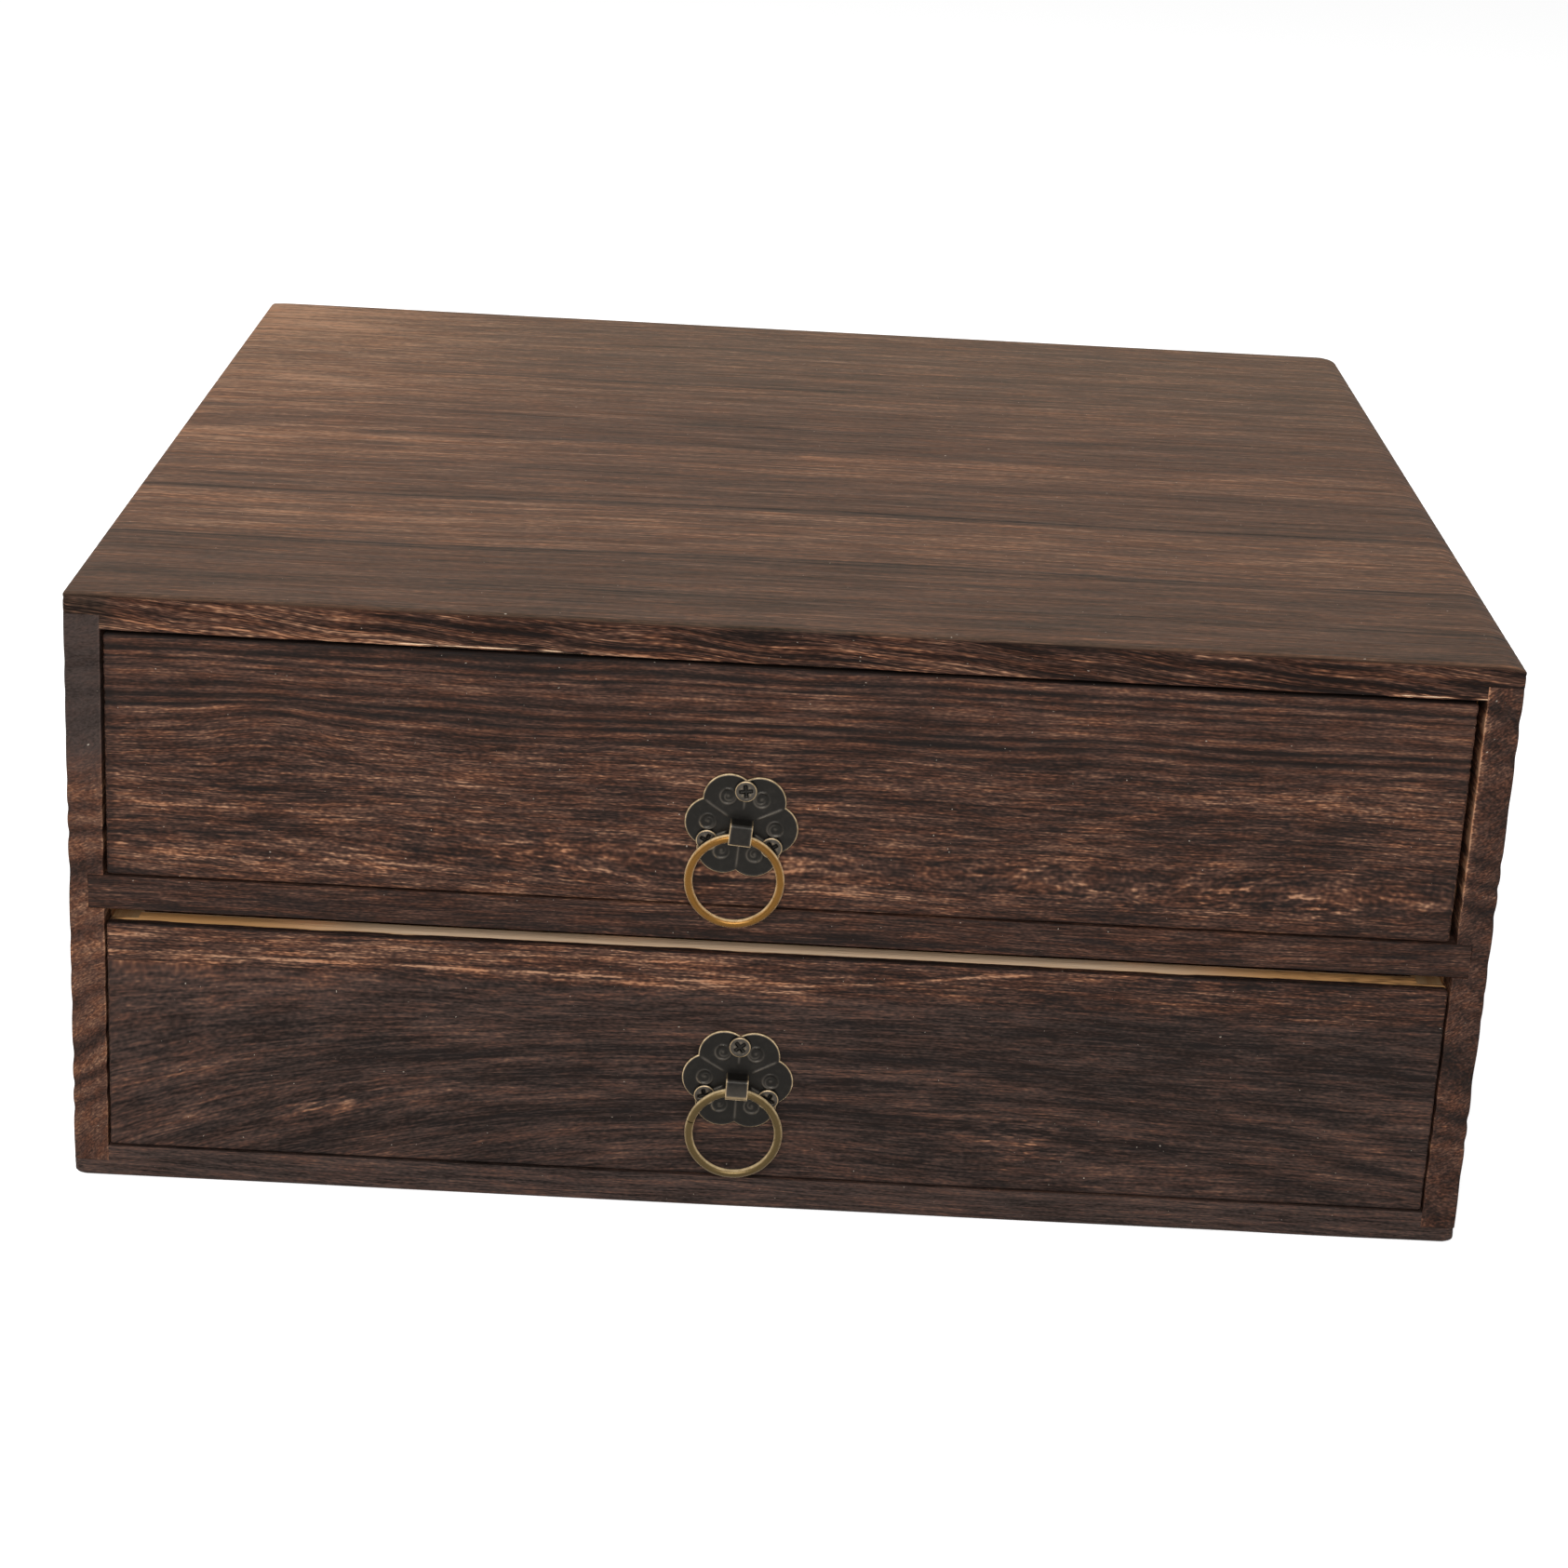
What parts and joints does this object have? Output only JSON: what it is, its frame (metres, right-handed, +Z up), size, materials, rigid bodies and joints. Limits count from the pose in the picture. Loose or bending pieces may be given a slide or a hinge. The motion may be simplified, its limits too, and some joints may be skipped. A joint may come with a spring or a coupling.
{
  "type": "two-drawer tabletop storage box",
  "caption": "Low tabletop storage box in dark burnt wood with stacked inset drawers, each with a flower-plate ring pull.",
  "frame": {"origin": "on the flat underside that the box stands on, under the middle of the carcass", "axes": "+X to the right along the width, +Y to the back, +Z up; the drawer fronts face -Y"},
  "size_m": [0.34, 0.3251, 0.15],
  "materials": {
    "burnt_wood": "burnt and brushed grain, dark brown, matt",
    "pale_wood": "unstained, planed, matt",
    "panel_wood": "thin sanded sheet, matt",
    "dark_bronze": "antiqued near black, rubbed bright at the edges",
    "antique_brass": "antiqued, darker in the hollows",
    "plain_steel": "dull"
  },
  "bodies": {
    "carcass": {"top_panel": "burnt_wood", "bottom_panel": "burnt_wood", "left_side_panel": "burnt_wood", "right_side_panel": "burnt_wood", "middle_shelf": "burnt_wood", "back_panel": "panel_wood", "back_panel_staples": "plain_steel"},
    "upper_drawer": {"upper_drawer_front": "burnt_wood", "upper_drawer_left_side": "pale_wood", "upper_drawer_right_side": "pale_wood", "upper_drawer_back": "pale_wood", "upper_drawer_bottom": "panel_wood", "upper_pull_plate": "dark_bronze", "upper_pull_screws": "dark_bronze", "upper_pull_strap": "dark_bronze"},
    "lower_drawer": {"lower_drawer_front": "burnt_wood", "lower_drawer_left_side": "pale_wood", "lower_drawer_right_side": "pale_wood", "lower_drawer_back": "pale_wood", "lower_drawer_bottom": "panel_wood", "lower_pull_plate": "dark_bronze", "lower_pull_screws": "dark_bronze", "lower_pull_strap": "dark_bronze"},
    "upper_ring": {"upper_pull_ring": "antique_brass"},
    "lower_ring": {"lower_pull_ring": "antique_brass"}
  },
  "joints": [
    {"name": "upper_drawer_slide", "type": "slide", "parent": "carcass", "child": "upper_drawer", "axis": [0, -1, 0], "range_m": [0, 0.22]},
    {"name": "lower_drawer_slide", "type": "slide", "parent": "carcass", "child": "lower_drawer", "axis": [0, -1, 0], "range_m": [0, 0.22]},
    {"name": "upper_ring_hinge", "type": "hinge", "parent": "upper_drawer", "child": "upper_ring", "pos_m": [-0.01058, -0.1632, 0.09861], "axis": [-0.9969, 0, 0.0785], "range_deg": [-3, 165]},
    {"name": "lower_ring_hinge", "type": "hinge", "parent": "lower_drawer", "child": "lower_ring", "pos_m": [-0.00836, -0.1632, 0.0328], "axis": [-0.9997, 0, 0.0262], "range_deg": [-3, 165]}
  ]
}
